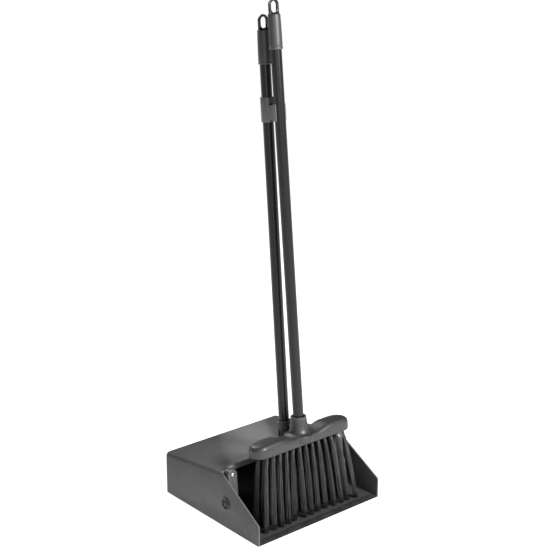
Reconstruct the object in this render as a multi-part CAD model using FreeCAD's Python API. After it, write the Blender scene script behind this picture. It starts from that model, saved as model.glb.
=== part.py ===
"""Lobby dust pan with its long-handled brush clipped to it, one STEP file per piece.

Millimetres, +Z up, +X to the right, +Y to the back. The mouth of the pan faces -Y. The origin is
on the floor under the middle of the pan's footprint.
"""
import FreeCAD
import Part
import math
import os

Vector = FreeCAD.Vector
X_AXIS = Vector(1, 0, 0)
Y_AXIS = Vector(0, 1, 0)
Z_AXIS = Vector(0, 0, 1)

# pan moulding
PAN_DEPTH = 278.0           # lip to back
FRONT_WIDTH = 290.0         # outside, at the lip
BACK_WIDTH = 274.0          # outside, at the back: the sides taper for the mould
BACK_HEIGHT = 80.0
HOOD_FRONT_HEIGHT = 101.5   # top of the hood at its front edge
HOOD_FRONT = 105.0          # the hood's front edge, back from the lip
CHEEK_HEIGHT = 37.0         # upright front edge of each side
WALL = 3.0
CORNER_RADIUS = 9.0         # back corners and hood edges, outside
CHEEK_RADIUS = 5.0
RIM_RADIUS = 3.0            # rolled bead along the hood's front edge
RIM_BACK = 1.2              # bead's centre, behind the hood's edge
RIM_DROP = 2.4              # bead's centre, below the hood's edge

# rubber lip
LIP_DEPTH = 14.0
LIP_FRONT_THICKNESS = 0.8
TONGUE_DEPTH = 7.0          # floor tongue that the lip is pushed on to
TONGUE_THICKNESS = 1.2

# pivots
PIVOT_FROM_LIP = 90.0
PIVOT_HEIGHT = 46.0
PAD_RADIUS = 12.5           # flat pad on the side wall under the bush flange
PAD_FACE = 143.1            # x of the pad's face
BUSH_RADIUS = 10.3
BUSH_FLANGE_RADIUS = 11.6
BUSH_FLANGE_THICKNESS = 1.5
BUSH_RECESS_RADIUS = 8.8
BUSH_FLOOR = 2.4            # thickness left at the bottom of the recess
PIN_RADIUS = 4.0
RUNNING_GAP = 0.06          # radial, pin in bush
PIN_HEAD_RADIUS = 5.6
PIN_HEAD_THICKNESS = 2.3
END_GAP = 0.3               # axial, pin head to bush
PUSH_NUT_RADIUS = 7.0
PUSH_NUT_THICKNESS = 1.4

# yoke: two arms and a beam between them
ARM_OUTER = 137.5
ARM_WIDTH = 19.5
ARM_FRONT = -5.0            # depth of the arm's front face from the pole's axis
ARM_BACK = 0.5
ARM_BOSS_RADIUS = 10.0
ARM_TOP = 50.5              # centre of the arm's round top, above the pivot
BEAM_BACK = 8.0
BEAM_LOW = 56.5
BEAM_HIGH = 65.5
BEAM_END = 131.0
LUG_RADIUS = 9.0
YOKE_SCREW_RADIUS = 2.0
YOKE_SCREW_HEAD = 4.0
YOKE_SCREW_HEAD_THICKNESS = 2.0

# poles
TUBE_RADIUS = 9.5
TUBE_WALL = 1.0
PAN_LEAN = 4.5              # degrees back from upright
BRUSH_LEAN = 5.4
BRUSH_FOOT_FROM_LIP = 43.6  # where the brush's axis meets the floor

# pan pole, heights above the pivot along the pole
SOCKET_LOW = 50.0
SOCKET_STEP = 72.0
SOCKET_HIGH = 117.0
SOCKET_RADIUS = 11.6
SOCKET_HALF_WIDTH = 17.0
SOCKET_FRONT = -11.0
FLANGE_RADIUS = 12.8
FLANGE_LOW = 99.0
GROOVE_LOW = 104.0          # groove between the flange and the top ring
GROOVE_HIGH = 110.0
GROOVE_RADIUS = 10.4
WINDOW_LOW = 80.0           # slot through the left of the sleeve, closed by the tube
WINDOW_HIGH = 97.0
WINDOW_WIDTH = 5.0
PAN_TUBE_LOW = 76.0
PAN_TUBE_HIGH = 796.0
CLIP_LOW = 651.0
CLIP_HIGH = 693.0
CLIP_RADIUS = 11.8
EAR_HALF = 5.5              # half thickness of the two clamp ears together
BOLT_RADIUS = 2.0
BOLT_HEAD = 3.6
PAN_GRIP_LOW = 748.0
PAN_GRIP_HIGH = 805.5

# pole clip jaw, heights above the floor along the brush's axis
JAW_LOW = 704.0
JAW_HIGH = 732.0
JAW_RADIUS = 11.6
JAW_GAP = 0.3
WEB_HALF = 6.5              # half width of the web between collar and jaw
JAW_REACH = 2.5             # how far the jaw's arms pass the brush's axis

# brush, heights above the floor along the brush's axis
BLOCK_LOW = 133.0
BLOCK_HALF_LENGTH = 112.0
BLOCK_HALF_DEPTH = 20.0
BLOCK_CORNER = 19.0
SHOULDER_HIGH = 157.0
WAIST_HIGH = 150.0
HUB_RADIUS = 20.0
COLLAR_RADIUS = 14.4
COLLAR_LOW = 170.0
COLLAR_HIGH = 183.0
THREAD_RADIUS = 8.0
THREAD_LOW = 146.0
THREAD_HIGH = 172.0
BRUSH_TUBE_HIGH = 870.0
BRUSH_GRIP_LOW = 822.0
BRUSH_GRIP_HIGH = 880.0

# bristle tufts
TUFT_PITCH = 15.0
TUFTS_IN_LONG_ROW = 13
TUFT_ROWS = 4
ROW_PITCH = 10.0
TUFT_ROOT_RADIUS = 2.4
TUFT_TIP_RADIUS = 3.6
FAN_ALONG = 1.20            # tips are this much wider apart than the roots, along the block
FAN_ACROSS = 1.4
TIP_CLEARANCE = 1.0         # tips above the pan's floor

# grips and hanging loops
GRIP_TOP_RADIUS = 10.7
GRIP_LOW_RADIUS = 11.4
GRIP_RIM_RADIUS = 11.8
GRIP_RIM_HEIGHT = 4.0
LOOP_HEIGHT = 25.0
LOOP_HALF_WIDTH = 10.4
LOOP_DEPTH = 5.0
LOOP_HOLE_HALF_WIDTH = 6.3
LOOP_HOLE_LOW = 2.0
STEM_LENGTH = 20.0

TUBE_BORE = TUBE_RADIUS - TUBE_WALL
FOOT_Y = BRUSH_FOOT_FROM_LIP - PAN_DEPTH / 2
PIVOT = Vector(0, PIVOT_FROM_LIP - PAN_DEPTH / 2, PIVOT_HEIGHT)
BRUSH_FOOT = Vector(0, FOOT_Y, 0)


def save(name, shape):
    """Write one piece, checked to be closed."""
    if not shape.isValid():
        raise ValueError(name + " is not a valid shape")
    shape.exportStep("parts/" + name + ".step")
    print("%-20s solids %2d  volume %9.0f mm3" % (name, len(shape.Solids), shape.Volume))


def prism(points, direction):
    """A polygon of (x, y, z) corners, pushed along a vector."""
    corners = [Vector(*point) for point in points]
    outline = Part.makePolygon(corners + [corners[0]])
    return Part.Face(outline).extrude(direction)


def box(x_span, y_span, z_span):
    low = Vector(x_span[0], y_span[0], z_span[0])
    return Part.makeBox(x_span[1] - x_span[0], y_span[1] - y_span[0], z_span[1] - z_span[0], low)


def rod(radius, start, end, direction=Z_AXIS, centre=Vector(0, 0, 0)):
    """A cylinder from start to end, measured along direction from centre."""
    return Part.makeCylinder(radius, end - start, centre + direction * start, direction)


def tube(outer, inner, start, end):
    return rod(outer, start, end).cut(rod(inner, start - 1, end + 1))


def turned(outline):
    """A solid of revolution about Z from (radius, height) corners."""
    corners = [Vector(radius, 0, height) for radius, height in outline]
    face = Part.Face(Part.makePolygon(corners + [corners[0]]))
    return face.revolve(Vector(0, 0, 0), Z_AXIS, 360)


def fused(*shapes):
    result = shapes[0]
    for shape in shapes[1:]:
        result = result.fuse(shape)
    return result.removeSplitter()


def edges_at(shape, test):
    """The edges whose middle point passes a test."""
    return [edge for edge in shape.Edges if test(edge.valueAt(
        (edge.FirstParameter + edge.LastParameter) / 2), edge)]


def on_pan_pole(shape):
    """Move a shape from the pole's own frame, with the pivot at its origin, to its place."""
    result = shape.copy()
    result.rotate(Vector(0, 0, 0), X_AXIS, -PAN_LEAN)
    result.translate(PIVOT)
    return result


def on_brush(shape):
    """Move a shape from the brush's own frame, with its axis on Z, to its place."""
    result = shape.copy()
    result.rotate(Vector(0, 0, 0), X_AXIS, -BRUSH_LEAN)
    result.translate(BRUSH_FOOT)
    return result


def mirrored(shape):
    return shape.mirror(Vector(0, 0, 0), X_AXIS)


# ---------------------------------------------------------------- pan

def half_width(from_lip):
    """Outside half width of the pan at a distance back from the lip."""
    taper = (FRONT_WIDTH - BACK_WIDTH) / 2 / PAN_DEPTH
    return FRONT_WIDTH / 2 - taper * from_lip


def plan_prism(inset, front, back):
    """Everything between the tapered sides, from front to back, well over the pan's height."""
    corners = [(side * (half_width(place) - inset), place - PAN_DEPTH / 2, -10)
               for side, place in ((-1, front), (1, front), (1, back), (-1, back))]
    return prism(corners, Vector(0, 0, HOOD_FRONT_HEIGHT + 40))


def side_prism(points):
    """A side view of (from lip, height) corners, pushed across the whole width."""
    corners = [(-FRONT_WIDTH, place - PAN_DEPTH / 2, height) for place, height in points]
    return prism(corners, Vector(2 * FRONT_WIDTH, 0, 0))


def hood_slope():
    return (HOOD_FRONT_HEIGHT - BACK_HEIGHT) / (PAN_DEPTH - HOOD_FRONT)


def rounded_back(shape, radius, back, inset):
    """Round the upright back corners, the back top edge and the two hood edges."""
    back_y = back - PAN_DEPTH / 2
    hood_y = HOOD_FRONT - PAN_DEPTH / 2

    def chosen(middle, edge):
        along = edge.tangentAt(edge.FirstParameter)
        at_side = abs(abs(middle.x) - (half_width(middle.y + PAN_DEPTH / 2) - inset)) < 0.01
        upright = abs(along.z) > 0.99 and at_side and abs(middle.y - back_y) < 0.01
        back_top = abs(along.x) > 0.99 and abs(middle.y - back_y) < 0.01 and middle.z > 50
        hood_side = at_side and middle.z > 80 and middle.y > hood_y and abs(along.y) > 0.9
        return upright or back_top or hood_side

    return shape.makeFillet(radius, edges_at(shape, chosen))


def pan_outer():
    body = side_prism([(0, 0), (PAN_DEPTH, 0), (PAN_DEPTH, BACK_HEIGHT),
                       (HOOD_FRONT, HOOD_FRONT_HEIGHT), (0, CHEEK_HEIGHT)])
    body = body.common(plan_prism(0, 0, PAN_DEPTH))
    body = rounded_back(body, CORNER_RADIUS, PAN_DEPTH, 0)

    def cheek_corner(middle, edge):
        return abs(middle.z - CHEEK_HEIGHT) < 0.01 and abs(middle.y + PAN_DEPTH / 2) < 0.01

    return body.makeFillet(CHEEK_RADIUS, edges_at(body, cheek_corner))


def pan_inner():
    """The space inside, open at the mouth and above the mouth."""
    back = PAN_DEPTH - WALL
    under_hood = WALL * math.sqrt(1 + hood_slope() ** 2)
    hood_back = BACK_HEIGHT - under_hood + WALL * hood_slope()
    hood_front = HOOD_FRONT_HEIGHT - under_hood
    space = side_prism([(HOOD_FRONT - 20, WALL), (back, WALL), (back, hood_back),
                        (HOOD_FRONT, hood_front),
                        (HOOD_FRONT - 20, hood_front + 20 * hood_slope())])
    space = space.common(plan_prism(WALL, HOOD_FRONT - 20, back))
    space = rounded_back(space, CORNER_RADIUS - WALL, back, WALL)
    mouth = side_prism([(-20, WALL), (HOOD_FRONT, WALL), (HOOD_FRONT, HOOD_FRONT_HEIGHT + 20),
                        (-20, HOOD_FRONT_HEIGHT + 20)])
    return space.fuse(mouth.common(plan_prism(WALL, -20, HOOD_FRONT)))


def lip_profile():
    """Side view of the rubber lip, without the slot for the floor's tongue."""
    return [(0, 0), (LIP_DEPTH, 0), (LIP_DEPTH, WALL), (LIP_DEPTH - 4, WALL),
            (0, LIP_FRONT_THICKNESS)]


def tongue():
    low = (WALL - TONGUE_THICKNESS) / 2
    start = LIP_DEPTH - TONGUE_DEPTH
    slab = side_prism([(start, low), (LIP_DEPTH, low), (LIP_DEPTH, low + TONGUE_THICKNESS),
                       (start, low + TONGUE_THICKNESS)])
    return slab.common(plan_prism(WALL, start, LIP_DEPTH))


def lip_space():
    return side_prism(lip_profile()).common(plan_prism(WALL, 0, LIP_DEPTH))


def make_pan_shell():
    floor_edge = side_prism([(-1, -1), (LIP_DEPTH, -1), (LIP_DEPTH, WALL + 1), (-1, WALL + 1)])
    shell = pan_outer().cut(pan_inner())
    shell = shell.cut(floor_edge.common(plan_prism(WALL, -1, LIP_DEPTH)))
    shell = shell.fuse(tongue())
    rim_centre = Vector(0, HOOD_FRONT - PAN_DEPTH / 2 + RIM_BACK, HOOD_FRONT_HEIGHT - RIM_DROP)
    rim_end = half_width(HOOD_FRONT) - WALL / 2
    shell = shell.fuse(rod(RIM_RADIUS, -rim_end, rim_end, X_AXIS, rim_centre))
    for side in (-1, 1):
        outward = X_AXIS * side
        shell = shell.fuse(rod(PAD_RADIUS, half_width(PIVOT_FROM_LIP) - WALL, PAD_FACE, outward, PIVOT))
        shell = shell.cut(rod(BUSH_RADIUS, ARM_OUTER, PAD_FACE + 1, outward, PIVOT))
    return shell.removeSplitter()


def make_bush(side):
    """Cup-shaped bush with a flange, its bore at the bottom of the recess."""
    outward = X_AXIS * side
    inner_face = half_width(PIVOT_FROM_LIP) - WALL
    flange_face = PAD_FACE + BUSH_FLANGE_THICKNESS
    bush = rod(BUSH_RADIUS, inner_face, PAD_FACE, outward, PIVOT)
    bush = bush.fuse(rod(BUSH_FLANGE_RADIUS, PAD_FACE, flange_face, outward, PIVOT))
    recess = rod(BUSH_RECESS_RADIUS, inner_face + BUSH_FLOOR, flange_face + 1, outward, PIVOT)
    bore = rod(PIN_RADIUS + RUNNING_GAP, inner_face - 1, flange_face, outward, PIVOT)
    return bush.cut(recess).cut(bore).removeSplitter()


# ---------------------------------------------------------------- yoke

def make_pin(side):
    """Slotted pivot pin, its head inside the bush's recess."""
    outward = X_AXIS * side
    seat = half_width(PIVOT_FROM_LIP) - WALL + BUSH_FLOOR + END_GAP
    end = ARM_OUTER - ARM_WIDTH - PUSH_NUT_THICKNESS - 2
    pin = rod(PIN_RADIUS, end, seat, outward)
    pin = pin.fuse(rod(PIN_HEAD_RADIUS, seat, seat + PIN_HEAD_THICKNESS, outward))
    slot_low = min(side * (seat + PIN_HEAD_THICKNESS - 1.1), side * (seat + PIN_HEAD_THICKNESS + 1))
    slot = box((slot_low, slot_low + 2.1), (-0.7, 0.7), (-PIN_HEAD_RADIUS, PIN_HEAD_RADIUS))
    slot.rotate(Vector(0, 0, 0), X_AXIS, 40 * side)
    return pin.cut(slot)


def make_push_nut(side):
    """Spring nut on the pin's inner end."""
    face = ARM_OUTER - ARM_WIDTH
    nut = rod(PUSH_NUT_RADIUS, face - PUSH_NUT_THICKNESS, face, X_AXIS * side)
    return nut.cut(rod(PIN_RADIUS, face - PUSH_NUT_THICKNESS - 1, face + 1, X_AXIS * side))


def lug_centre():
    return ARM_OUTER - ARM_WIDTH / 2


def make_left_arm():
    outer = -ARM_OUTER
    inner = -ARM_OUTER + ARM_WIDTH
    top_radius = ARM_WIDTH / 2
    plate = box((outer, inner), (ARM_FRONT, ARM_BACK), (0, ARM_TOP))
    top = rod(top_radius, ARM_FRONT, ARM_BACK, Y_AXIS, Vector(-lug_centre(), 0, ARM_TOP))
    boss = rod(ARM_BOSS_RADIUS, outer, inner, X_AXIS)
    arm = fused(plate, top, boss)
    arm = arm.cut(rod(PIN_RADIUS, outer - 1, inner + 1, X_AXIS))
    screw_hole = rod(YOKE_SCREW_RADIUS, ARM_FRONT - 1, ARM_BACK + 1, Y_AXIS,
                     Vector(-lug_centre(), 0, ARM_TOP))
    return arm.cut(screw_hole)


def make_beam():
    """Cross beam with a round lug at each end, behind the arms."""
    beam = box((-BEAM_END, BEAM_END), (ARM_BACK, BEAM_BACK), (BEAM_LOW, BEAM_HIGH))
    long_edges = edges_at(beam, lambda middle, edge: abs(edge.tangentAt(0).x) > 0.99)
    beam = beam.makeFillet(2.5, long_edges)
    for side in (-1, 1):
        centre = Vector(side * lug_centre(), 0, ARM_TOP)
        beam = beam.fuse(rod(LUG_RADIUS, ARM_BACK, BEAM_BACK, Y_AXIS, centre))
        beam = beam.cut(rod(YOKE_SCREW_RADIUS, ARM_BACK - 1, BEAM_BACK - 1.5, Y_AXIS, centre))
    return beam.removeSplitter()


def make_yoke_screws():
    screws = []
    for side in (-1, 1):
        centre = Vector(side * lug_centre(), 0, ARM_TOP)
        shank = rod(YOKE_SCREW_RADIUS, ARM_FRONT, BEAM_BACK - 1.5, Y_AXIS, centre)
        head = rod(YOKE_SCREW_HEAD, ARM_FRONT - YOKE_SCREW_HEAD_THICKNESS, ARM_FRONT, Y_AXIS, centre)
        screw = fused(shank, head)
        rims = edges_at(screw, lambda middle, edge: abs(
            middle.y - ARM_FRONT + YOKE_SCREW_HEAD_THICKNESS) < 0.01)
        screws.append(screw.makeFillet(1.2, rims))
    return Part.makeCompound(screws)


# ---------------------------------------------------------------- pan pole

def make_socket():
    """Moulded hub that straddles the beam and holds the foot of the pole."""
    saddle = box((-SOCKET_HALF_WIDTH, SOCKET_HALF_WIDTH), (SOCKET_FRONT, BEAM_BACK),
                 (SOCKET_LOW, SOCKET_STEP))
    uprights = edges_at(saddle, lambda middle, edge: abs(edge.tangentAt(0).z) > 0.99)
    saddle = saddle.makeFillet(4.0, uprights)
    sleeve = rod(SOCKET_RADIUS, SOCKET_STEP - 4, SOCKET_HIGH)
    flange = rod(FLANGE_RADIUS, FLANGE_LOW, GROOVE_LOW)
    hub = fused(saddle, sleeve, flange)
    hub = hub.cut(tube(FLANGE_RADIUS + 1, GROOVE_RADIUS, GROOVE_LOW, GROOVE_HIGH))
    hub = hub.cut(box((-FLANGE_RADIUS - 1, -TUBE_RADIUS + 1), (-1, WINDOW_WIDTH - 1),
                      (WINDOW_LOW, WINDOW_HIGH)))
    hub = hub.cut(make_beam())
    hub = hub.cut(rod(TUBE_RADIUS, PAN_TUBE_LOW, SOCKET_HIGH + 1))
    return hub.cut(socket_screw_shape())


def socket_screw_shape():
    """Screw through the front of the socket into the tube."""
    centre = Vector(0, 0, (PAN_TUBE_LOW + SOCKET_HIGH) / 2)
    shank = rod(1.8, -SOCKET_RADIUS, -TUBE_BORE + 3, Y_AXIS, centre)
    head = rod(3.4, -SOCKET_RADIUS - 1.6, -SOCKET_RADIUS + 0.6, Y_AXIS, centre)
    return fused(shank, head)


def make_pan_pole():
    pole = tube(TUBE_RADIUS, TUBE_BORE, PAN_TUBE_LOW, PAN_TUBE_HIGH)
    return pole.cut(socket_screw_shape())


def make_grip(low, high, tube_high):
    """Sleeve over the top of a tube, with a rim at its lower end."""
    grip = turned([(TUBE_RADIUS, low), (GRIP_RIM_RADIUS - 0.5, low), (GRIP_RIM_RADIUS, low + 0.5),
                   (GRIP_RIM_RADIUS, low + GRIP_RIM_HEIGHT - 0.5),
                   (GRIP_LOW_RADIUS, low + GRIP_RIM_HEIGHT), (GRIP_TOP_RADIUS, high - 1.5),
                   (GRIP_TOP_RADIUS - 1.5, high), (TUBE_BORE, high), (TUBE_BORE, tube_high),
                   (TUBE_RADIUS, tube_high)])
    return grip


def make_loop(grip_high, tube_high):
    """Hanging loop with a stem that plugs into the tube."""
    top_centre = grip_high + LOOP_HEIGHT - LOOP_HALF_WIDTH
    middle = -LOOP_DEPTH / 2
    plate = box((-LOOP_HALF_WIDTH, LOOP_HALF_WIDTH), (middle, -middle), (grip_high, top_centre))
    arch = rod(LOOP_HALF_WIDTH, middle, -middle, Y_AXIS, Vector(0, 0, top_centre))
    loop = fused(plate, arch)
    hole_low = grip_high + LOOP_HOLE_LOW + LOOP_HOLE_HALF_WIDTH
    hole = box((-LOOP_HOLE_HALF_WIDTH, LOOP_HOLE_HALF_WIDTH), (middle - 1, 1 - middle),
               (hole_low, top_centre))
    for height in (hole_low, top_centre):
        centre = Vector(0, 0, height)
        hole = hole.fuse(rod(LOOP_HOLE_HALF_WIDTH, middle - 1, 1 - middle, Y_AXIS, centre))
    loop = loop.cut(hole).removeSplitter()
    rims = edges_at(loop, lambda middle_point, edge: abs(abs(middle_point.y) - LOOP_DEPTH / 2) < 0.01
                    and middle_point.z > grip_high + 0.5)
    loop = loop.makeFillet(1.6, rims)
    foot = turned([(0, grip_high), (GRIP_TOP_RADIUS - 1.6, grip_high),
                   (GRIP_TOP_RADIUS - 2.4, grip_high + 1.5), (0, grip_high + 1.5)])
    stem = rod(TUBE_BORE, tube_high - STEM_LENGTH, grip_high)
    return fused(loop, foot, stem)


# ---------------------------------------------------------------- clip between the poles

def make_pole_clip():
    """Collar clamped on the pan's pole with a U-shaped jaw for the brush's pole, in place."""
    collar = rod(CLIP_RADIUS, CLIP_LOW, CLIP_HIGH)
    ears = box((CLIP_RADIUS - 4, CLIP_RADIUS + 9), (-EAR_HALF, EAR_HALF), (CLIP_LOW + 12, CLIP_HIGH - 12))
    collar = on_pan_pole(collar.fuse(ears))
    jaw = rod(JAW_RADIUS, JAW_LOW, JAW_HIGH)
    jaw = jaw.fuse(box((-JAW_RADIUS, JAW_RADIUS), (-JAW_REACH, 0), (JAW_LOW, JAW_HIGH)))
    web = box((-WEB_HALF, WEB_HALF), (0, 24), (JAW_LOW + 2, JAW_HIGH - 2))
    clip = fused(collar, on_brush(jaw), on_brush(web))
    pocket_radius = TUBE_RADIUS + JAW_GAP
    pocket = rod(pocket_radius, JAW_LOW - 1, JAW_HIGH + 1)
    pocket = pocket.fuse(box((-pocket_radius, pocket_radius), (-40, 0), (JAW_LOW - 1, JAW_HIGH + 1)))
    past_reach = box((-40, 40), (-40, -JAW_REACH), (JAW_LOW - 1, JAW_HIGH + 1))
    clip = clip.cut(on_brush(pocket.fuse(past_reach)))
    clip = clip.cut(on_pan_pole(rod(TUBE_RADIUS, CLIP_LOW - 1, CLIP_HIGH + 1)))
    split = box((0, CLIP_RADIUS + 12), (-0.8, 0.8), (CLIP_LOW - 1, CLIP_HIGH + 1))
    clip = clip.cut(on_pan_pole(split))
    return clip.cut(on_pan_pole(clip_bolt_shape()))


def clip_bolt_centre():
    return Vector(CLIP_RADIUS + 4.5, 0, (CLIP_LOW + CLIP_HIGH) / 2)


def clip_bolt_shape():
    """Clamp bolt across the ears, its head at the front."""
    shank = rod(BOLT_RADIUS, -EAR_HALF, EAR_HALF + 3, Y_AXIS, clip_bolt_centre())
    head = rod(BOLT_HEAD, -EAR_HALF - 2.2, -EAR_HALF, Y_AXIS, clip_bolt_centre())
    return fused(shank, head)


def make_clip_nut():
    centre = clip_bolt_centre()
    corners = []
    for index in range(6):
        angle = math.radians(60 * index)
        corners.append((centre.x + 4 * math.cos(angle), EAR_HALF, centre.z + 4 * math.sin(angle)))
    nut = prism(corners, Vector(0, 2.6, 0))
    return nut.cut(rod(BOLT_RADIUS, 0, 12, Y_AXIS, centre))


# ---------------------------------------------------------------- brush

def make_block():
    """Moulded head: two wings that rise a little from a waist, and a hub with a collar."""
    low = BLOCK_LOW
    end = BLOCK_HALF_LENGTH
    right = [(HUB_RADIUS, WAIST_HIGH), (42, SHOULDER_HIGH - 3), (62, SHOULDER_HIGH),
             (end - 9, SHOULDER_HIGH), (end - 3, SHOULDER_HIGH - 3), (end, SHOULDER_HIGH - 9),
             (end, low + 6), (end - 5, low)]
    left = [(-x, z) for x, z in reversed(right)]
    corners = [(x, -40, z) for x, z in right + left]
    body = prism(corners, Vector(0, 80, 0))
    plan = box((-end, end), (-BLOCK_HALF_DEPTH, BLOCK_HALF_DEPTH), (low - 5, SHOULDER_HIGH + 5))
    uprights = edges_at(plan, lambda middle, edge: abs(edge.tangentAt(0).z) > 0.99)
    body = body.common(plan.makeFillet(BLOCK_CORNER, uprights))
    hub = Part.makeCone(HUB_RADIUS, COLLAR_RADIUS, COLLAR_LOW - BLOCK_LOW - 8, Vector(0, 0, BLOCK_LOW + 8))
    collar = rod(COLLAR_RADIUS, COLLAR_LOW - 1, COLLAR_HIGH)
    block = fused(body, hub, collar)
    block = block.cut(rod(THREAD_RADIUS, THREAD_LOW, COLLAR_HIGH))
    return block.cut(rod(TUBE_RADIUS, THREAD_HIGH, COLLAR_HIGH + 1))


def make_thread_insert():
    """Threaded plug pushed into the foot of the brush's tube."""
    return fused(rod(THREAD_RADIUS, THREAD_LOW, THREAD_HIGH), rod(TUBE_BORE, THREAD_HIGH, THREAD_HIGH + 30))


def make_tuft_row(row):
    """One row of tapered tufts, fanned out towards the tips, ending just over the pan's floor."""
    lean = math.radians(BRUSH_LEAN)
    count = TUFTS_IN_LONG_ROW - row % 2
    across = ROW_PITCH * (row - (TUFT_ROWS - 1) / 2)
    tip_across = across * FAN_ACROSS
    tip_height = (WALL + TIP_CLEARANCE + TUFT_TIP_RADIUS * math.sin(math.radians(15))
                  + tip_across * math.sin(lean)) / math.cos(lean)
    tufts = []
    for index in range(count):
        along = TUFT_PITCH * (index - (count - 1) / 2)
        root = Vector(along, across, BLOCK_LOW)
        tip = Vector(along * FAN_ALONG, tip_across, tip_height)
        reach = root - tip
        tuft = Part.makeCone(TUFT_TIP_RADIUS, TUFT_ROOT_RADIUS, reach.Length, tip, reach)
        above = box((-200, 200), (-60, 60), (BLOCK_LOW, BLOCK_LOW + 20))
        tufts.append(tuft.cut(above))
    return Part.makeCompound(tufts)


def main():
    os.makedirs("parts", exist_ok=True)
    save("pan_shell", make_pan_shell())
    save("lip_strip", lip_space().cut(tongue()))
    for side, name in ((-1, "left"), (1, "right")):
        save("pivot_bush_" + name, make_bush(side))
        save("pivot_pin_" + name, on_pan_pole(make_pin(side)))
        save("push_nut_" + name, on_pan_pole(make_push_nut(side)))
    left_arm = make_left_arm()
    save("yoke_arm_left", on_pan_pole(left_arm))
    save("yoke_arm_right", on_pan_pole(mirrored(left_arm)))
    save("yoke_beam", on_pan_pole(make_beam()))
    save("yoke_screws", on_pan_pole(make_yoke_screws()))
    save("pole_socket", on_pan_pole(make_socket()))
    save("socket_screw", on_pan_pole(socket_screw_shape()))
    save("pan_pole", on_pan_pole(make_pan_pole()))
    save("pan_grip", on_pan_pole(make_grip(PAN_GRIP_LOW, PAN_GRIP_HIGH, PAN_TUBE_HIGH)))
    save("pan_hanging_loop", on_pan_pole(make_loop(PAN_GRIP_HIGH, PAN_TUBE_HIGH)))
    save("pole_clip", make_pole_clip())
    save("clip_bolt", on_pan_pole(clip_bolt_shape()))
    save("clip_nut", on_pan_pole(make_clip_nut()))
    save("brush_block", on_brush(make_block()))
    save("thread_insert", on_brush(make_thread_insert()))
    for row in range(TUFT_ROWS):
        save("bristle_row_%d" % (row + 1), on_brush(make_tuft_row(row)))
    save("brush_pole", on_brush(tube(TUBE_RADIUS, TUBE_BORE, THREAD_HIGH, BRUSH_TUBE_HIGH)))
    save("brush_grip", on_brush(make_grip(BRUSH_GRIP_LOW, BRUSH_GRIP_HIGH, BRUSH_TUBE_HIGH)))
    save("brush_hanging_loop", on_brush(make_loop(BRUSH_GRIP_HIGH, BRUSH_TUBE_HIGH)))


main()
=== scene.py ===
import math
import random

import bmesh
import bpy
from mathutils import Matrix, Vector


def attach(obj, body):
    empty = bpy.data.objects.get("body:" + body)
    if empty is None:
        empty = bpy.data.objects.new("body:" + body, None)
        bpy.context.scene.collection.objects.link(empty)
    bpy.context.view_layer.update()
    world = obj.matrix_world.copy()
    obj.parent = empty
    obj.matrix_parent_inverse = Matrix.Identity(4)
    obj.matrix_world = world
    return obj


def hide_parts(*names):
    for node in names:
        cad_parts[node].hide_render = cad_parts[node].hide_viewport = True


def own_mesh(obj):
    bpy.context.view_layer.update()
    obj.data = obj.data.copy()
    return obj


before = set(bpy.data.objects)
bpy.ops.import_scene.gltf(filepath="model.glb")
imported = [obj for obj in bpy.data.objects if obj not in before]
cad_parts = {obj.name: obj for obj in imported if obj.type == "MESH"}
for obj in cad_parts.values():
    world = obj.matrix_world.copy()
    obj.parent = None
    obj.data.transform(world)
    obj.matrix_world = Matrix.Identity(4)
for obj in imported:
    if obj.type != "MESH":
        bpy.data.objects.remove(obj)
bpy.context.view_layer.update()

MM = 0.001
PAN_LEAN = math.radians(4.5)
BRUSH_LEAN = math.radians(5.4)
PIVOT = Vector((0, -0.049, 0.046))
BRUSH_FOOT = Vector((0, -0.0954, 0))
MERGE_DISTANCE = 2e-6
FLAT_ANGLE = math.radians(0.4)      # faces that meet at less than this are one face
HARD_ANGLE = math.radians(28.0)     # edges that turn by more than this are rounded


# ------------------------------------------------------------------ frames of the two poles

def pole_frame(lean, foot):
    """A frame whose Z runs up a pole that leans towards the back."""
    return Matrix.Translation(foot) @ Matrix.Rotation(-lean, 4, "X")


PAN_POLE = pole_frame(PAN_LEAN, PIVOT)
BRUSH = pole_frame(BRUSH_LEAN, BRUSH_FOOT)
STILL = Matrix.Identity(4)


# ------------------------------------------------------------------ node helpers

BLACK = (0, 0, 0)
NOISE_ROUGHNESS = 0.55


def grey(value):
    return (value, value, value)


def toned(colour, gain, lift=0.0):
    """A colour made lighter or darker."""
    return tuple(min(1.0, channel * gain + lift) for channel in colour)


def new_material(name, rough, specular, coat=0.0, metallic=0.0):
    """An empty Principled material with its uniform values on the shader's own sockets."""
    material = bpy.data.materials.new(name)
    material.use_nodes = True
    tree = material.node_tree
    shader = tree.nodes["Principled BSDF"]
    shader.inputs["Roughness"].default_value = rough
    shader.inputs["Specular IOR Level"].default_value = specular
    shader.inputs["Metallic"].default_value = metallic
    shader.inputs["Coat Weight"].default_value = coat
    return material, tree, shader


def node(tree, kind, **values):
    """A new node with values for its sockets or its own settings."""
    made = tree.nodes.new(kind)
    for key, value in values.items():
        if key in made.inputs:
            made.inputs[key].default_value = value
        else:
            setattr(made, key, value)
    return made


def noise(tree, coords, scale, detail, stretch=(1, 1, 1)):
    """Noise in the object's own space. A stretch below 1 draws it out along that axis."""
    source = coords
    if stretch != (1, 1, 1):
        mapping = node(tree, "ShaderNodeMapping")
        mapping.inputs["Scale"].default_value = stretch
        tree.links.new(coords, mapping.inputs["Vector"])
        source = mapping.outputs["Vector"]
    made = node(tree, "ShaderNodeTexNoise", Scale=scale, Detail=detail, Roughness=NOISE_ROUGHNESS)
    tree.links.new(source, made.inputs["Vector"])
    return made.outputs["Fac"]


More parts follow.
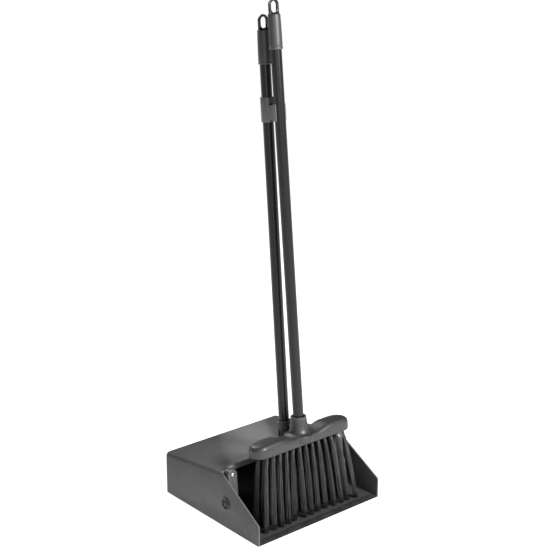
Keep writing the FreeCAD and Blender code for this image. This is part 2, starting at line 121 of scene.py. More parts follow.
def ramp(tree, source, low, high, dark, light):
    """Colour ramp that is dark up to low and light from high on."""
    made = node(tree, "ShaderNodeValToRGB")
    made.color_ramp.elements[0].position = low
    made.color_ramp.elements[0].color = (*dark, 1)
    made.color_ramp.elements[1].position = high
    made.color_ramp.elements[1].color = (*light, 1)
    tree.links.new(source, made.inputs["Fac"])
    return made.outputs["Color"]


def mix(tree, factor, first, second, kind="MIX"):
    """Colour mix. Each input is a number, a colour or a socket."""
    made = node(tree, "ShaderNodeMix", data_type="RGBA", blend_type=kind)
    for source, index in ((factor, 0), (first, 6), (second, 7)):
        if isinstance(source, (int, float)):
            made.inputs[index].default_value = source
        elif isinstance(source, tuple):
            made.inputs[index].default_value = (*source, 1)
        else:
            tree.links.new(source, made.inputs[index])
    return made.outputs[2]


def spread(tree, source, low, high):
    """Map 0 to 1 onto low to high."""
    made = node(tree, "ShaderNodeMapRange")
    made.inputs["To Min"].default_value = low
    made.inputs["To Max"].default_value = high
    tree.links.new(source, made.inputs["Value"])
    return made.outputs["Result"]


def bump(tree, shader, layers):
    """Stack of (height source, strength, distance in metres) bumps."""
    last = None
    for height, strength, distance in layers:
        made = node(tree, "ShaderNodeBump", Strength=strength, Distance=distance)
        tree.links.new(height, made.inputs["Height"])
        if last is not None:
            tree.links.new(last, made.inputs["Normal"])
        last = made.outputs["Normal"]
    tree.links.new(last, shader.inputs["Normal"])


def object_coords(tree):
    return node(tree, "ShaderNodeTexCoord").outputs["Object"]


# ------------------------------------------------------------------ materials

def moulded(name, colour, rough, grain=0.12, specular=0.5, edge=0.0, coat=0.0, inside=None):
    """Injection-moulded plastic: fine spark texture, flow marks, rubbed patches and hairline scuffs.

    edge is how pale the worn edges go, and inside is painted shade, a darker colour multiplied onto the
    faces inside a shell.
    """
    material, tree, shader = new_material(name, rough, specular, coat)
    shader.inputs["Coat Roughness"].default_value = 0.12
    coords = object_coords(tree)
    dark = toned(colour, 0.86)
    light = toned(colour, 1.14)
    clouds = noise(tree, coords, scale=14.0, detail=5.0)
    flow = noise(tree, coords, scale=30.0, detail=3.0, stretch=(0.35, 1, 1))
    cloudy = ramp(tree, clouds, 0.32, 0.68, dark, light)
    flowing = ramp(tree, flow, 0.3, 0.7, dark, light)
    base = mix(tree, 0.35, cloudy, flowing)
    hair = noise(tree, coords, scale=260.0, detail=2.0, stretch=(0.05, 0.6, 1.0))
    scratch = ramp(tree, hair, 0.70, 0.78, BLACK, grey(0.25))
    look = mix(tree, scratch, base, toned(colour, 1.7, 0.012))
    if edge:
        worn = node(tree, "ShaderNodeAttribute", attribute_name="edge_wear")
        blotch = noise(tree, coords, scale=90.0, detail=4.0)
        amount = node(tree, "ShaderNodeMath", operation="MULTIPLY")
        tree.links.new(worn.outputs["Fac"], amount.inputs[0])
        tree.links.new(spread(tree, blotch, 0.15 * edge, 1.3 * edge), amount.inputs[1])
        look = mix(tree, amount.outputs[0], look, toned(colour, 1.9, 0.02))
    # painted shade: faces inside the shell are darkened, standing in for the shade inside the pan
    if inside:
        inside_shade_mask = node(tree, "ShaderNodeAttribute", attribute_name="inside")
        shade = mix(tree, 1.0, look, inside, "MULTIPLY")
        look = mix(tree, inside_shade_mask.outputs["Fac"], look, shade)
    tree.links.new(look, shader.inputs["Base Color"])
    patches = noise(tree, coords, scale=9.0, detail=3.0)
    tree.links.new(spread(tree, patches, rough - 0.07, rough + 0.09), shader.inputs["Roughness"])
    fine = noise(tree, coords, scale=1500.0, detail=3.0)
    bump(tree, shader, [(clouds, 0.10, 0.0006), (hair, 0.04, 0.0001), (fine, grain, 0.00012)])
    return material


def powder_coat(name, colour, rough):
    """Satin powder coat on a drawn tube: orange peel, uneven gloss and faint marks along the tube."""
    material, tree, shader = new_material(name, rough, specular=0.32, coat=0.03)
    shader.inputs["Coat Roughness"].default_value = 0.22
    coords = object_coords(tree)
    peel = noise(tree, coords, scale=620.0, detail=2.0)
    long_marks = noise(tree, coords, scale=90.0, detail=3.0, stretch=(1, 1, 0.04))
    clouds = noise(tree, coords, scale=11.0, detail=4.0)
    base = ramp(tree, clouds, 0.3, 0.7, toned(colour, 0.8), toned(colour, 1.25))
    streak = ramp(tree, long_marks, 0.62, 0.8, BLACK, grey(0.35))
    look = mix(tree, streak, base, toned(colour, 2.2, 0.01))
    tree.links.new(look, shader.inputs["Base Color"])
    tree.links.new(spread(tree, clouds, rough - 0.06, rough + 0.08), shader.inputs["Roughness"])
    bump(tree, shader, [(peel, 0.16, 0.00012), (long_marks, 0.05, 0.0001)])
    return material


def zinc(name, dull, bright, smooth, coarse):
    """Zinc-plated steel: brushed grain, dull grey blotches."""
    material, tree, shader = new_material(name, (smooth + coarse) / 2, specular=0.5, metallic=1.0)
    coords = object_coords(tree)
    grain = noise(tree, coords, scale=900.0, detail=3.0, stretch=(1, 0.15, 1))
    blotch = noise(tree, coords, scale=240.0, detail=4.0)
    low_tone = (dull, dull, dull * 1.02)
    high_tone = (bright, bright, bright * 1.01)
    tree.links.new(ramp(tree, blotch, 0.3, 0.72, low_tone, high_tone), shader.inputs["Base Color"])
    tree.links.new(spread(tree, grain, smooth, coarse), shader.inputs["Roughness"])
    bump(tree, shader, [(grain, 0.12, 0.00008)])
    return material


def rubber(name):
    """Soft matt rubber with dust on it."""
    material, tree, shader = new_material(name, rough=0.62, specular=0.35)
    coords = object_coords(tree)
    dust = noise(tree, coords, scale=55.0, detail=6.0)
    fine = noise(tree, coords, scale=900.0, detail=3.0)
    base = ramp(tree, dust, 0.35, 0.8, (0.014, 0.014, 0.015), (0.034, 0.034, 0.035))
    tree.links.new(base, shader.inputs["Base Color"])
    tree.links.new(spread(tree, dust, 0.5, 0.75), shader.inputs["Roughness"])
    bump(tree, shader, [(fine, 0.2, 0.0001)])
    return material


def filament(name):
    """Bristle filament: each one has its own tone, darkened as painted shade in rows further back, and
    towards the tips they draw near one dark tone.
    """
    material, tree, shader = new_material(name, rough=0.42, specular=0.5)
    coords = object_coords(tree)
    own = node(tree, "ShaderNodeAttribute", attribute_name="tone_with_row_shade")
    tip = node(tree, "ShaderNodeAttribute", attribute_name="to_tip")
    tone = ramp(tree, own.outputs["Fac"], 0.0, 1.0, (0.007, 0.007, 0.008), (0.090, 0.090, 0.097))
    look = mix(tree, tip.outputs["Fac"], tone, (0.024, 0.024, 0.027))
    tree.links.new(look, shader.inputs["Base Color"])
    crimp = noise(tree, coords, scale=700.0, detail=2.0)
    tree.links.new(spread(tree, own.outputs["Fac"], 0.34, 0.56), shader.inputs["Roughness"])
    bump(tree, shader, [(crimp, 0.10, 0.0001)])
    return material


# inside darkens the pan's inner faces as painted shade
PAN_BLACK = moulded("pan_black_moulded", (0.064, 0.0645, 0.066), rough=0.52, grain=0.10, specular=0.06,
                    edge=0.5, coat=0.16, inside=(0.45, 0.45, 0.46))
LIP_RUBBER = rubber("lip_rubber_soft")
BUSH = moulded("bush_moulded", (0.022, 0.022, 0.023), rough=0.42)
YOKE = moulded("yoke_moulded", (0.036, 0.0365, 0.038), rough=0.36, edge=0.6)
GRIP = moulded("grip_moulded", (0.030, 0.0305, 0.032), rough=0.46, grain=0.22, edge=0.5)
CLIP = moulded("clip_moulded", (0.058, 0.059, 0.061), rough=0.34, edge=0.5)
BLOCK = moulded("block_moulded", (0.027, 0.0275, 0.029), rough=0.44, grain=0.20, edge=0.6)
LOOP = moulded("loop_moulded", (0.005, 0.005, 0.0055), rough=0.26, grain=0.04)
TUBE = powder_coat("tube_powder_coat", (0.007, 0.007, 0.0074), rough=0.25)
ZINC = zinc("zinc_plate", dull=0.34, bright=0.62, smooth=0.28, coarse=0.52)
# a much darker zinc, used for the pivot pins
DARK_ZINC = zinc("zinc_plate_dark", dull=0.04, bright=0.10, smooth=0.42, coarse=0.62)
BRISTLE = filament("bristle_filament")


# ------------------------------------------------------------------ mesh helpers

def finish_piece(obj, body, material, replaced):
    """Give a piece its material, and hang it on its body in place of its CAD nodes."""
    mesh = obj.data
    mesh.materials.clear()
    mesh.materials.append(material)
    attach(obj, body)
    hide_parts(*replaced)
    return obj


def object_from(name, mesh):
    obj = bpy.data.objects.new(name, mesh)
    bpy.context.scene.collection.objects.link(obj)
    return obj


def object_of(shape, name):
    """Turn a bmesh into an object, and free it."""
    mesh = bpy.data.meshes.new(name)
    shape.to_mesh(mesh)
    shape.free()
    return object_from(name, mesh)


def apply_modifiers(obj):
    """Put the evaluated mesh in place of the object's own, without its modifiers."""
    depsgraph = bpy.context.evaluated_depsgraph_get()
    mesh = bpy.data.meshes.new_from_object(obj.evaluated_get(depsgraph))
    obj.modifiers.clear()
    old = obj.data
    obj.data = mesh
    bpy.data.meshes.remove(old)


def softened(cad_name, body, material, edge, name):
    """A copy of a CAD node with every hard edge rounded and marked as worn, in place of the node.

    edge is the width of the rounding in metres and its number of segments.
    """
    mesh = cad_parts[cad_name].data.copy()
    shape = bmesh.new()
    shape.from_mesh(mesh)
    bmesh.ops.remove_doubles(shape, verts=shape.verts, dist=MERGE_DISTANCE)
    bmesh.ops.dissolve_degenerate(shape, dist=MERGE_DISTANCE, edges=shape.edges)
    bmesh.ops.dissolve_limit(shape, angle_limit=FLAT_ANGLE, verts=shape.verts, edges=shape.edges)
    shape.to_mesh(mesh)
    shape.free()
    obj = object_from(name, mesh)
    mesh.materials.clear()
    if "custom_normal" in mesh.attributes:
        mesh.attributes.remove(mesh.attributes["custom_normal"])
    rounding = obj.modifiers.new("rounding", "BEVEL")
    rounding.width, rounding.segments = edge
    rounding.limit_method = "ANGLE"
    rounding.angle_limit = HARD_ANGLE
    rounding.use_clamp_overlap = True
    # the rounded faces take the second of two like materials, which mark_wear looks for
    rounding.material = 1
    mesh.materials.append(material)
    mesh.materials.append(material)
    apply_modifiers(obj)
    mark_wear(obj)
    smooth_by_angle(obj, 40)
    return finish_piece(obj, body, material, [cad_name])


def mark_wear(obj):
    """Points on the rounded edges carry edge_wear 1, the rest 0."""
    mesh = obj.data
    wear = mesh.attributes.new("edge_wear", "FLOAT", "POINT")
    values = [0.0] * len(mesh.vertices)
    for face in mesh.polygons:
        if face.material_index == 1:
            for index in face.vertices:
                values[index] = 1.0
            face.material_index = 0
    wear.data.foreach_set("value", values)


def mark_shaded_inside(obj, centre):
    """Faces that look towards a point inside a shell carry inside 1, the rest 0, so that the material can
    paint shade onto them.
    """
    mesh = obj.data
    inside = mesh.attributes.new("inside", "FLOAT", "FACE")
    inside.data.foreach_set("value", [1.0 if face.normal.dot(centre - face.center) > 0 else 0.0
                                      for face in mesh.polygons])


def add_wear(obj, weight):
    """edge_wear from a function of a point in the object's coordinates."""
    mesh = obj.data
    wear = mesh.attributes.new("edge_wear", "FLOAT", "POINT")
    wear.data.foreach_set("value", [weight(vert.co) for vert in mesh.vertices])


def smooth_by_angle(obj, degrees):
    mesh = obj.data
    mesh.shade_smooth()
    mesh.set_sharp_from_angle(angle=math.radians(degrees))


def lathe(name, profile, place, segments=96, on_axis=False):
    """Revolve (radius, height) points in millimetres about the Z of a frame.

    A profile that is on_axis starts and ends on the axis. Any other closes on itself.
    """
    shape = bmesh.new()
    rings = []
    for radius, height in profile:
        if radius < 1e-6:
            rings.append([shape.verts.new((0, 0, height * MM))])
            continue
        ring = []
        for spoke in range(segments):
            angle = math.tau * spoke / segments
            point = (radius * MM * math.cos(angle), radius * MM * math.sin(angle), height * MM)
            ring.append(shape.verts.new(point))
        rings.append(ring)
    pairs = list(zip(rings, rings[1:]))
    if not on_axis:
        pairs.append((rings[-1], rings[0]))
    for low, high in pairs:
        for spoke in range(segments):
            after = (spoke + 1) % segments
            if len(low) == 1:
                shape.faces.new((low[0], high[after], high[spoke]))
            elif len(high) == 1:
                shape.faces.new((low[spoke], low[after], high[0]))
            else:
                shape.faces.new((low[spoke], low[after], high[after], high[spoke]))
    bmesh.ops.recalc_face_normals(shape, faces=shape.faces)
    shape.transform(place)
    return object_of(shape, name)


def combine(obj, tool, operation):
    """Exact boolean of two closed meshes, applied."""
    boolean = obj.modifiers.new("boolean", "BOOLEAN")
    boolean.operation = operation
    boolean.solver = "EXACT"
    boolean.object = tool
    apply_modifiers(obj)
    bpy.data.objects.remove(tool)


def joined(name, objects):
    """One mesh object out of several."""
    shape = bmesh.new()
    for obj in objects:
        shape.from_mesh(obj.data)
    made = object_of(shape, name)
    for obj in objects:
        bpy.data.objects.remove(obj)
    smooth_by_angle(made, 40)
    return made


# ------------------------------------------------------------------ brush block, in millimetres

BLOCK_HALF = 112.0
BLOCK_DEPTH = 20.0          # half of the depth from front to back
BLOCK_LOW = 133.0
WAIST = 150.0
SHOULDER = 157.0
TOP_ROUND = 8.5
LOW_ROUND = 3.2
RING_POINTS = 240
SLIVER = 0.02               # half width at which the rings stop, just before they would cross
HUB_TOP = 183.0
HUB_PROFILE = [(0, 140), (27.5, 140), (27.5, 149.6), (27.0, 150.9), (25.6, 151.6), (23.4, 151.9),
               (20.6, 153.2), (18.4, 155.8), (16.9, 160), (16.0, 165), (15.2, 170), (14.8, 173),
               (14.5, 176), (14.4, 181.4), (14.1, 182.5), (13.3, HUB_TOP), (11.4, HUB_TOP),
               (10.7, 182.6), (10.2, 181.4), (9.62, 178), (9.62, 172.2), (0, 172.2)]


def ease(value):
    """Smooth step from 0 to 1."""
    value = min(1.0, max(0.0, value))
    return value * value * (3 - 2 * value)


def block_top(x, offset):
    """Height of the block's top, with a dished waist round the hub and a crown across its depth."""
    along = abs(x)
    height = WAIST + (SHOULDER - WAIST) * ease((along - 24) / 38)
    height -= 1.6 * ease((along - 78) / 34)
    crown = 0.9 * ease(offset / BLOCK_DEPTH)
    return height + crown * ease((along - 30) / 30)


def stadium(offset):
    """Points round the block's plan, moved in by offset. Each straight and each end has a quarter."""
    radius = max(BLOCK_DEPTH - offset, SLIVER)
    straight = BLOCK_HALF - BLOCK_DEPTH
    quarter = RING_POINTS // 4
    points = []
    for side in (1, -1):
        for step in range(quarter):
            points.append((side * straight * (1 - 2 * step / quarter), side * radius))
        for step in range(quarter):
            angle = side * math.pi / 2 + math.pi * step / quarter
            points.append((-side * straight + radius * math.cos(angle), radius * math.sin(angle)))
    return points


def block_rings():
    """Each ring's offset, its face and its distance from that face, from the underside to the top."""
    rings = []
    for share in (1.0, 0.6, 0.25):
        offset = LOW_ROUND + (BLOCK_DEPTH - LOW_ROUND) * share - SLIVER / 2 * share
        rings.append((offset, "low", 0.0))
    for step in range(6):
        angle = math.pi / 2 * step / 5
        rings.append((LOW_ROUND * (1 - math.sin(angle)), "low", LOW_ROUND * (1 - math.cos(angle))))
    for step in range(9):
        angle = math.pi / 2 * step / 8
        rings.append((TOP_ROUND * (1 - math.cos(angle)), "top", TOP_ROUND * (1 - math.sin(angle))))
    for share in (0.2, 0.4, 0.6, 0.8, 1.0):
        rings.append((TOP_ROUND + (BLOCK_DEPTH - SLIVER - TOP_ROUND) * share, "top", 0.0))
    return rings


def close_sliver(shape, loop):
    """Fill the innermost ring, which is a sliver. Its two long runs face each other."""
    count = len(loop)
    half = count // 2
    quarter = half // 2
    for step in range(quarter):
        facing = half + quarter - step
        shape.faces.new((loop[step], loop[step + 1], loop[(facing - 1) % count], loop[facing % count]))
    shape.faces.new([loop[step] for step in range(quarter, half + 1)])
    shape.faces.new([loop[step % count] for step in range(half + quarter, count + 1)])


def block_shape():
    """The block without its hub."""
    shape = bmesh.new()
    loops = []
    for offset, side, off_face in block_rings():
        loop = []
        for x, y in stadium(offset):
            height = BLOCK_LOW + off_face if side == "low" else block_top(x, offset) - off_face
            loop.append(shape.verts.new(Vector((x, y, height)) * MM))
        loops.append(loop)
    for low, high in zip(loops, loops[1:]):
        for step in range(RING_POINTS):
            after = (step + 1) % RING_POINTS
            shape.faces.new((low[step], low[after], high[after], high[step]))
    close_sliver(shape, loops[0])
    close_sliver(shape, loops[-1])
    bmesh.ops.recalc_face_normals(shape, faces=shape.faces)
    bmesh.ops.remove_doubles(shape, verts=shape.verts, dist=MERGE_DISTANCE)
    return shape


def make_block():
    """The brush head: a block that is dished round a hub, worn along its upper edges and the hub's rim."""
    block = object_of(block_shape(), "brush_head")
    combine(block, lathe("hub_tool", HUB_PROFILE, STILL, 120, on_axis=True), "UNION")
    block.data.transform(BRUSH)
    into_brush = BRUSH.inverted()

    def worn(point):
        x, y, z = (into_brush @ point) / MM
        near_rim = abs(z - (HUB_TOP - 0.5)) < 1.5 and math.hypot(x, y) > 12.5
        along = abs(abs(y) - 18.5) < 1.8 and z > block_top(x, 2) - 3.4 and abs(x) > 30
        return 1.0 if near_rim else 0.7 if along else 0.0

    add_wear(block, worn)
    smooth_by_angle(block, 42)
    finish_piece(block, "brush", BLOCK, ["brush_block"])


# ------------------------------------------------------------------ bristles, in millimetres

TUFT_SEED = 41
ROWS = 4
ROW_PITCH = 10.0
TUFT_PITCH = 15.0
TUFTS_IN_LONG_ROW = 13
FAN = 1.19                  # tips are this much wider apart than the roots, along the block
FAN_ACROSS = 1.4            # and this much from front to back
ROOT_RADIUS = 2.5
ROOT_DEPTH = 1.0            # how far the roots go up into the block
TIP_RADIUS = 5.6
TIP_LIFT = 3.5              # least height of a tip over the ground
FILAMENTS = 78
FILAMENT_STEPS = 9
CRIMP = 17                  # how far the crimp winds along a filament, in radians


def filament_centre(root, end, shift, bow, wave, phase, share):
    """Where a filament's middle is at a share of its length."""
    own = end - root - shift
    # tufts lean out early and then hang, and each stays tight before its tips open
    lean_out = share ** 0.7
    opening = share ** 1.9
    centre = root.lerp(end, share)
    centre.x = root.x + shift.x * lean_out + own.x * opening
    centre.y = root.y + shift.y * lean_out + own.y * opening
    centre.x += bow.x * math.sin(math.pi * share) + wave * math.sin(phase + CRIMP * share)
    centre.y += bow.y * math.sin(math.pi * share) + wave * math.cos(phase + CRIMP * share)
    return centre


def add_filament(shape, layers, centre_at, thick, phase, tone):
    """A three-sided filament with closed ends, a little thinner at the tip."""
    tone_layer, tip_layer = layers
    last = None
    for step in range(FILAMENT_STEPS + 1):
        share = step / FILAMENT_STEPS
        centre = centre_at(share)
        radius = thick * (1.0 - 0.45 * max(0.0, share - 0.8) / 0.2)
        ring = []
        for corner in range(3):
            turn = phase + math.tau * corner / 3
            outward = Vector((radius * math.cos(turn), radius * math.sin(turn), 0))
            vert = shape.verts.new((centre + outward) * MM)
            vert[tone_layer] = tone
            vert[tip_layer] = ease((share - 0.45) / 0.5) * 0.85
            ring.append(vert)
        if last:
            for corner in range(3):
                other = (corner + 1) % 3
                shape.faces.new((last[other], last[corner], ring[corner], ring[other]))
        else:
            shape.faces.new(ring)
        last = ring
    shape.faces.new(list(reversed(last)))


def add_tuft(shape, layers, picker, row, along, across):
    """A bundle of crimped filaments, tight at the root and splayed at the tip."""
    # painted shade: tufts in rows further back get a darker tone, for the light that the front rows block
    tuft_tone_with_row_shade = picker.uniform(0.30, 0.78) * (1 - 0.16 * row)
    tip_x = along * FAN + picker.gauss(0, 1.2)
    tip_y = across * FAN_ACROSS + picker.gauss(0, 1.4)
    swirl = picker.uniform(-0.5, 0.5)
    shift = Vector((tip_x - along, tip_y - across, 0))
    for _ in range(FILAMENTS):
        angle = picker.uniform(0, math.tau)
        reach = math.sqrt(picker.random())
        root_radius = ROOT_RADIUS * reach
        tip_radius = TIP_RADIUS * reach ** 0.85 * picker.uniform(0.75, 1.15)
        root = Vector((along + root_radius * math.cos(angle), across + root_radius * math.sin(angle),
                       BLOCK_LOW + ROOT_DEPTH))
        turned = angle + swirl
        end_x = tip_x + tip_radius * math.cos(turned)
        end_y = tip_y + 0.8 * tip_radius * math.sin(turned)
        lift = TIP_LIFT + abs(picker.gauss(0, 1.5))
        end_z = (lift + end_y * math.sin(BRUSH_LEAN)) / math.cos(BRUSH_LEAN)
        end = Vector((end_x, end_y, end_z))
        bow = Vector((picker.gauss(0, 0.9), picker.gauss(0, 0.9), 0))
        phase = picker.uniform(0, math.tau)
        wave = picker.uniform(0.12, 0.34)
        tone = min(1.0, max(0.0, tuft_tone_with_row_shade + picker.gauss(0, 0.16)))
        thick = picker.uniform(0.27, 0.36)

        def centre_at(share):
            return filament_centre(root, end, shift, bow, wave, phase, share)

        add_filament(shape, layers, centre_at, thick, phase, tone)


def make_tuft_rows():
    """Each row is one piece."""
    picker = random.Random(TUFT_SEED)
    for row in range(ROWS):
        count = TUFTS_IN_LONG_ROW - row % 2
        across = ROW_PITCH * (row - (ROWS - 1) / 2)
        shape = bmesh.new()
        layers = [shape.verts.layers.float.new(name) for name in ("tone_with_row_shade", "to_tip")]
        for index in range(count):
            along = TUFT_PITCH * (index - (count - 1) / 2)
            add_tuft(shape, layers, picker, row, along, across)
        shape.normal_update()
        shape.transform(BRUSH)
        obj = object_of(shape, "tuft_row_%d" % (row + 1))
        obj.data.shade_smooth()
        finish_piece(obj, "brush", BRISTLE, ["bristle_row_%d" % (row + 1)])
        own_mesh(obj)


# ------------------------------------------------------------------ grips, in millimetres

PAN_GRIP = (748.0, 805.5, 796.0)        # lower end, upper end and the end of the tube inside
BRUSH_GRIP = (822.0, 880.0, 870.0)
GRIP_BORE = 9.55
GRIP_END_BORE = 8.55
GRIP_BARREL = 11.42
GRIP_TAPER = 0.72
GRIP_SWELL = 0.16
BARREL_STEPS = 10


def make_grip(name, cad_name, body, place, ends):
    """Moulded sleeve: a rolled rim, a groove over it, a slight barrel, and a rounded top shoulder."""
    low, high, tube_high = ends
    profile = [(GRIP_BORE, low + 0.2), (10.9, low), (11.5, low + 0.25), (11.8, low + 0.9),
               (11.8, low + 3.0), (11.55, low + 3.7), (11.1, low + 4.1), (11.05, low + 4.6),
               (11.3, low + 5.2), (GRIP_BARREL, low + 6.0)]
    for step in range(1, BARREL_STEPS):
        share = step / BARREL_STEPS
        radius = GRIP_BARREL - GRIP_TAPER * share + GRIP_SWELL * math.sin(math.pi * share)
        profile.append((radius, low + 6 + (high - low - 8.2) * share))
    profile += [(10.7, high - 2.2), (10.55, high - 1.2), (10.15, high - 0.45), (9.5, high - 0.05),
                (8.6, high), (GRIP_END_BORE, high - 0.4), (GRIP_END_BORE, tube_high + 0.05),
                (GRIP_BORE, tube_high + 0.05)]
    grip = lathe(name, profile, place)
    into_pole = place.inverted()

    def worn(point):
        z = (into_pole @ point).z / MM
        return 1.0 if z < low + 3.8 else 0.5 if z > high - 1.6 else 0.0

    add_wear(grip, worn)
    smooth_by_angle(grip, 50)
    finish_piece(grip, body, GRIP, [cad_name])


# ------------------------------------------------------------------ screws, in millimetres

YOKE_SCREW = {"head_radius": 4.0, "head_height": 2.0, "shank_radius": 2.0, "shank_length": 11.3}
SOCKET_SCREW = {"head_radius": 3.4, "head_height": 1.6, "shank_radius": 1.8, "shank_length": 5.8}
YOKE_SCREW_X = 127.75
YOKE_SCREW_Y = -5.0
YOKE_SCREW_Z = 50.5
SOCKET_SCREW_Y = -11.6
SOCKET_SCREW_Z = (76.0 + 117.0) / 2
UNDER_HEAD = 0.05           # the head sits this far into the face under it
HEAD_EDGE = 0.15            # height of the head's rim, under its dome
DOME_STEPS = 8
RECESS_TURN = 25            # degrees


def cross_recess(head_radius, head_height, turn):
    """A bar with tapered ends, to cut one slot of the cross into a screw's head."""
    shape = bmesh.new()
    bmesh.ops.create_cube(shape, size=1)
    size = Vector((head_radius * 1.15, head_radius * 0.27, head_height * 1.3)) * MM
    bmesh.ops.scale(shape, vec=size, verts=shape.verts)
    for vert in shape.verts:
        if vert.co.z < 0:
            vert.co.x *= 0.45
    bmesh.ops.translate(shape, vec=Vector((0, 0, head_height)) * MM, verts=shape.verts)
    turning = Matrix.Rotation(math.radians(turn + RECESS_TURN), 3, "Z")
    bmesh.ops.rotate(shape, matrix=turning, verts=shape.verts)
    return object_of(shape, "recess_tool")


def cross_screw(name, place, head_radius, head_height, shank_radius, shank_length):
    """Pan-head screw with a cross recess. Its head stands on z 0 and its shank goes down from it."""
    profile = [(0, -shank_length), (shank_radius, -shank_length), (shank_radius, -UNDER_HEAD),
               (head_radius * 0.93, -UNDER_HEAD), (head_radius, HEAD_EDGE)]
    for step in range(1, DOME_STEPS):
        angle = math.pi / 2 * step / DOME_STEPS
        height = HEAD_EDGE + (head_height - HEAD_EDGE) * math.sin(angle)
        profile.append((head_radius * math.cos(angle) ** 0.62, height))
    profile.append((0, head_height))
    screw = lathe(name, profile, STILL, 64, on_axis=True)
    for turn in (0, 90):
        combine(screw, cross_recess(head_radius, head_height, turn), "DIFFERENCE")
    screw.data.transform(place)
    smooth_by_angle(screw, 40)
    return screw


def facing_front(matrix, x, y, z):
    """Place a screw in a pole's frame, its head towards the mouth."""
    return matrix @ Matrix.Translation(Vector((x, y, z)) * MM) @ Matrix.Rotation(math.pi / 2, 4, "X")


def make_screws():
    pair = []
    for side in (-1, 1):
        place = facing_front(PAN_POLE, side * YOKE_SCREW_X, YOKE_SCREW_Y, YOKE_SCREW_Z)
        pair.append(cross_screw("screw", place, **YOKE_SCREW))
    finish_piece(joined("yoke_screw_pair", pair), "pan_handle", ZINC, ["yoke_screws"])
    place = facing_front(PAN_POLE, 0, SOCKET_SCREW_Y, SOCKET_SCREW_Z)
    one = cross_screw("pole_screw", place, **SOCKET_SCREW)
    finish_piece(one, "pan_handle", ZINC, ["socket_screw"])


# ------------------------------------------------------------------ build

PAN_MIDDLE = Vector((0, 0, 0.045))
PAN_EDGE = (0.0010, 3)
ARM_EDGE = (0.0009, 3)
BEAM_EDGE = (0.0007, 3)
BUSH_EDGE = (0.0004, 2)
FINE_EDGE = (0.0003, 2)


def keep(cad_name, material):
    """Show the CAD node as it is, with a finished material."""
    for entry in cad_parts[cad_name].material_slots:
        entry.material = material


pan = softened("pan_shell", "pan", PAN_BLACK, PAN_EDGE, name="dust_pan")
# mark the pan's inner faces for their painted shade
mark_shaded_inside(pan, PAN_MIDDLE)
softened("lip_strip", "pan", LIP_RUBBER, FINE_EDGE, name="rubber_lip")
for side in ("left", "right"):
    softened("pivot_bush_" + side, "pan", BUSH, BUSH_EDGE, name="bush_" + side)
    softened("pivot_pin_" + side, "pan_handle", DARK_ZINC, FINE_EDGE, name="pin_" + side)
    softened("push_nut_" + side, "pan_handle", ZINC, FINE_EDGE, name="spring_nut_" + side)
    softened("yoke_arm_" + side, "pan_handle", YOKE, ARM_EDGE, name="arm_" + side)
softened("yoke_beam", "pan_handle", YOKE, BEAM_EDGE, name="cross_beam")
softened("pole_socket", "pan_handle", YOKE, BEAM_EDGE, name="pole_foot")
softened("pole_clip", "pan_handle", CLIP, ARM_EDGE, name="snap_clip")
softened("clip_bolt", "pan_handle", ZINC, FINE_EDGE, name="clamp_bolt")
softened("clip_nut", "pan_handle", ZINC, FINE_EDGE, name="clamp_nut")
for cad_name in ("pan_hanging_loop", "brush_hanging_loop", "thread_insert"):
    keep(cad_name, LOOP)
for cad_name in ("pan_pole", "brush_pole"):
    keep(cad_name, TUBE)
make_grip("pan_grip_sleeve", "pan_grip", "pan_handle", PAN_POLE, PAN_GRIP)
make_grip("brush_grip_sleeve", "brush_grip", "brush", BRUSH, BRUSH_GRIP)
make_screws()
make_block()
make_tuft_rows()


# ------------------------------------------------------------------ camera, floor and light

CAMERA_AZIMUTH = -41.117
CAMERA_ELEVATION = 16.171
CAMERA_DISTANCE = 2.128
CAMERA_TARGET = Vector((-0.0215, -0.040, 0.4369))
SENSOR_WIDTH = 36.0
FOCAL_TO_WIDTH = 2.2441818
FLOOR_HALF = 30.0
LAMP_AIM = (0, -0.03, 0.25)


def direction(azimuth, elevation):
    """Unit vector at an angle round from the mouth's direction, and at an angle above the floor."""
    round_angle = math.radians(azimuth)
    up_angle = math.radians(elevation)
    return Vector((math.sin(round_angle) * math.cos(up_angle), -math.cos(round_angle) * math.cos(up_angle),
                   math.sin(up_angle)))


def make_camera():
    data = bpy.data.cameras.new("camera")
    camera = bpy.data.objects.new("camera", data)
    bpy.context.scene.collection.objects.link(camera)
    back = direction(CAMERA_AZIMUTH, CAMERA_ELEVATION)
    camera.location = CAMERA_TARGET + back * CAMERA_DISTANCE
    camera.rotation_euler = back.to_track_quat("Z", "Y").to_euler()
    data.sensor_width = SENSOR_WIDTH
    data.lens = SENSOR_WIDTH * FOCAL_TO_WIDTH
    bpy.context.scene.camera = camera


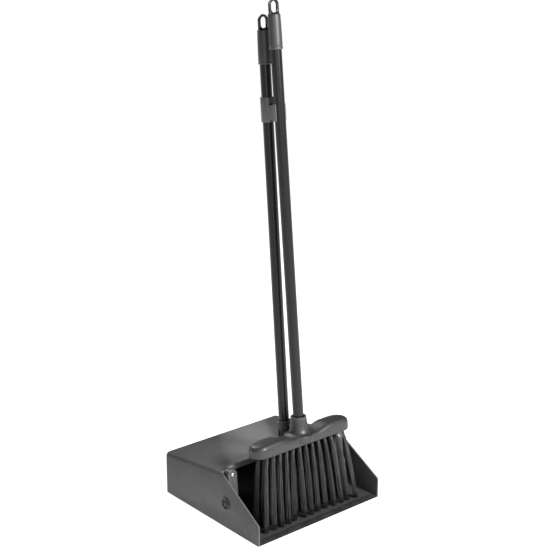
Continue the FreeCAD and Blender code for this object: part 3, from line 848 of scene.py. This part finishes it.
def make_floor():
    """A grey floor that glows white, so that it shows no edge against the background."""
    corners = [(-FLOOR_HALF, -FLOOR_HALF, 0), (FLOOR_HALF, -FLOOR_HALF, 0),
               (FLOOR_HALF, FLOOR_HALF, 0), (-FLOOR_HALF, FLOOR_HALF, 0)]
    mesh = bpy.data.meshes.new("floor")
    mesh.from_pydata(corners, [], [(0, 1, 2, 3)])
    floor = object_from("floor", mesh)
    material, tree, shader = new_material("floor_pale", rough=0.9, specular=0.1)
    faint = noise(tree, object_coords(tree), scale=2.0, detail=3.0)
    tree.links.new(ramp(tree, faint, 0.3, 0.7, grey(0.40), grey(0.43)), shader.inputs["Base Color"])
    shader.inputs["Emission Color"].default_value = (1, 1, 1, 1)
    shader.inputs["Emission Strength"].default_value = 1.0
    mesh.materials.append(material)


def soft_box(name, azimuth, elevation, distance, size, power, aim=LAMP_AIM, size_y=None):
    """Area light, square unless it has a size_y, that looks at a point from a direction."""
    towards = direction(azimuth, elevation)
    data = bpy.data.lights.new(name, "AREA")
    data.energy = power
    data.size = size
    if size_y:
        data.shape = "RECTANGLE"
        data.size_y = size_y
    lamp = bpy.data.objects.new(name, data)
    bpy.context.scene.collection.objects.link(lamp)
    lamp.location = Vector(aim) + towards * distance
    lamp.rotation_euler = towards.to_track_quat("Z", "Y").to_euler()
    lamp.visible_camera = False


def make_light():
    soft_box("key", azimuth=7, elevation=32, distance=2.4, size=0.5, power=112)
    soft_box("camera_fill", azimuth=-41, elevation=20, distance=3.0, size=1.2, power=15)
    soft_box("back", azimuth=180, elevation=40, distance=2.4, size=1.4, power=42)
    # a small card low behind the pan, for the pale patch on the hood's top
    soft_box("roof_card", azimuth=143.2, elevation=7.0, distance=1.5, size=0.17, power=0.15,
             aim=(-0.004, 0.078, 0.088), size_y=0.04)
    world = bpy.data.worlds.new("studio")
    world.use_nodes = True
    world.node_tree.nodes["Background"].inputs[0].default_value = (1, 1, 1, 1)
    world.node_tree.nodes["Background"].inputs[1].default_value = 1.0
    # seen behind the object as plain white, but the lamps and the floor do all the lighting
    world.cycles_visibility.diffuse = False
    world.cycles_visibility.glossy = False
    bpy.context.scene.world = world


make_camera()
make_floor()
make_light()
bpy.context.scene.view_settings.view_transform = "Standard"
